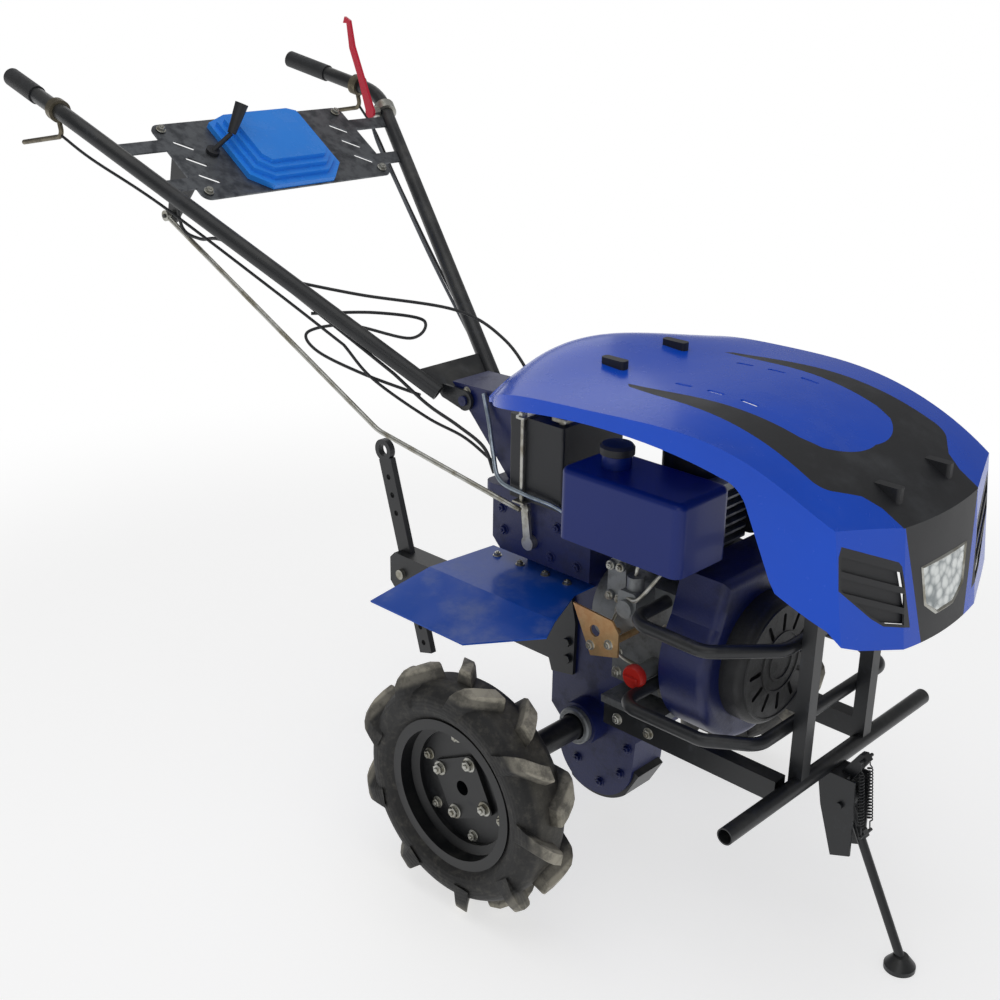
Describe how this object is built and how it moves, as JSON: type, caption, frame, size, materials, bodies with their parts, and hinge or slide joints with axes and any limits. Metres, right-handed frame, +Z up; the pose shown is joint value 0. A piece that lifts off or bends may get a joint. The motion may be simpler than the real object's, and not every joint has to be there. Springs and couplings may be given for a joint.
{
  "type": "walking tractor",
  "caption": "Two-wheel walking tractor with an open diesel engine, hood, folding front stand and tilting handlebars.",
  "frame": {"origin": "on the floor below the middle of the whole machine", "axes": "+X forward, +Y to the machine's left, +Z up"},
  "size_m": [2.0684, 0.882, 1.4437],
  "materials": {
    "hood_blue": "gloss",
    "body_blue": "gloss",
    "fender_blue": "gloss",
    "tank_blue": "gloss",
    "frame_black": "satin",
    "engine_grey": "cast",
    "plastic_black": "matt",
    "steel": "satin",
    "zinc_yellow": "zinc plated",
    "zinc_silver": "zinc plated",
    "battery_black": "matt",
    "tyre_rubber": "dusty",
    "rim_black": "gloss",
    "grip_rubber": "matt",
    "console_grey": "satin",
    "lamp_clear": "clear",
    "lever_red": "gloss"
  },
  "bodies": {
    "chassis": {"air_filter": "plastic_black", "battery": "battery_black", "battery_hold_down": "zinc_silver", "battery_tray": "body_blue", "bumper_bar": "frame_black", "cooling_shroud": "body_blue", "crankcase": "engine_grey", "cylinder": "engine_grey", "drag_bar": "frame_black", "drag_pin": "zinc_silver", "fender_brackets": "frame_black", "fender_left": "fender_blue", "fender_right": "fender_blue", "frame_cross": "frame_black", "frame_rail_left": "frame_black", "frame_rail_right": "frame_black", "front_post_left": "frame_black", "front_post_right": "frame_black", "fuel_tank": "tank_blue", "gear_cover": "engine_grey", "gearbox": "body_blue", "guard_lower": "frame_black", "guard_upper": "frame_black", "handle_column": "body_blue", "headlamp": "lamp_clear", "hitch": "frame_black", "hood": "hood_blue", "hood_clips": "plastic_black", "hood_inlay": "plastic_black", "injection_pump": "engine_grey", "leg_cover": "frame_black", "muffler": "steel", "nose_panel": "plastic_black", "recoil_starter": "plastic_black", "shift_lever": "zinc_silver", "side_grilles": "plastic_black", "speed_plate": "zinc_yellow", "stand_bracket": "frame_black", "stand_spring": "steel"},
    "wheel_left": {"tyre_left": "tyre_rubber", "rim_left": "rim_black", "hub_left": "rim_black"},
    "wheel_right": {"tyre_right": "tyre_rubber", "rim_right": "rim_black", "hub_right": "rim_black"},
    "stand": {"stand_leg": "frame_black"},
    "handlebar": {"handle_yoke": "frame_black", "handle_tube_left": "frame_black", "handle_tube_right": "frame_black", "grip_left": "grip_rubber", "grip_right": "grip_rubber", "console_plate": "console_grey", "console_cover": "hood_blue", "gear_lever": "grip_rubber", "clutch_lever": "lever_red", "clutch_bracket": "console_grey", "hand_levers": "zinc_yellow", "shift_bracket": "console_grey"},
    "shift_rod": {"shift_rod": "zinc_silver"}
  },
  "joints": [
    {"name": "wheel_left_spin", "type": "hinge", "parent": "chassis", "child": "wheel_left", "pos_m": [0.34, 0.384, 0.232], "axis": [0, 1, 0], "continuous": true},
    {"name": "wheel_right_spin", "type": "hinge", "parent": "chassis", "child": "wheel_right", "pos_m": [0.34, -0.384, 0.232], "axis": [0, 1, 0], "continuous": true},
    {"name": "stand_fold", "type": "hinge", "parent": "chassis", "child": "stand", "pos_m": [0.874, 0, 0.277], "axis": [0, 1, 0], "range_deg": [0, 115], "deforming": ["stand_spring"]},
    {"name": "handlebar_tilt", "type": "hinge", "parent": "chassis", "child": "handlebar", "pos_m": [0.005, 0, 0.795], "axis": [0, 1, 0], "range_deg": [-10, 15]},
    {"name": "shift_rod_swing", "type": "hinge", "parent": "handlebar", "child": "shift_rod", "pos_m": [-0.66, -0.258, 1.081], "axis": [0, 1, 0], "range_deg": [-4.5, 3.5]}
  ],
  "couplings": [
    {"joint": "shift_rod_swing", "follows": "handlebar_tilt", "ratio": -0.2575}
  ]
}
